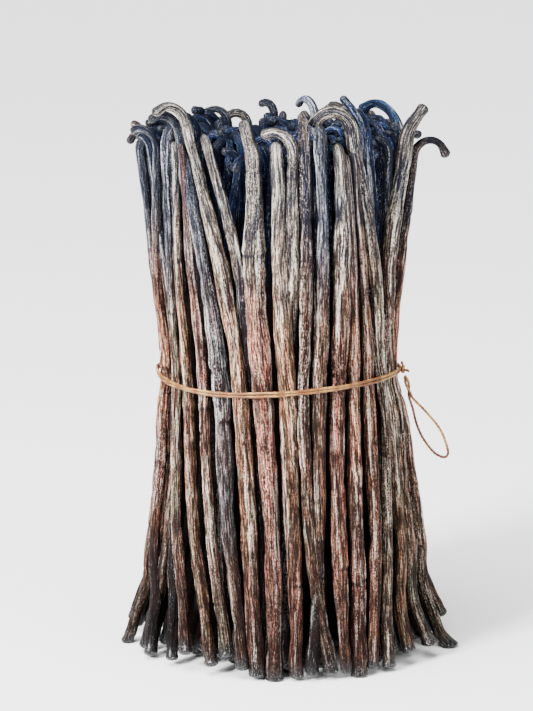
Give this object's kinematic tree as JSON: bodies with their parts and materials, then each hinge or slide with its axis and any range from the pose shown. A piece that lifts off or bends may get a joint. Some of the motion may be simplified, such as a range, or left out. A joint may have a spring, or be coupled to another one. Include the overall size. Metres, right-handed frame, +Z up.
{
  "type": "bundle of vanilla pods",
  "caption": "Long dark wrinkled vanilla pods with hooked stem ends, standing upright in a waisted bundle tied round the middle with doubled twine.",
  "frame": {"origin": "under the middle of the bundle's box, on the surface it stands on", "axes": "+Z up along the pods, towards their hooked stem ends; the near side of the picture faces -Y; +X to the right of it"},
  "size_m": [0.103, 0.0922, 0.1768],
  "materials": {
    "pods": "oily, wrinkled, dark brown to slate",
    "twine": "smooth thin golden-brown twine"
  },
  "bodies": {
    "root": {"pods": "pods", "string_tie": "twine", "string_loop": "twine"}
  },
  "joints": []
}
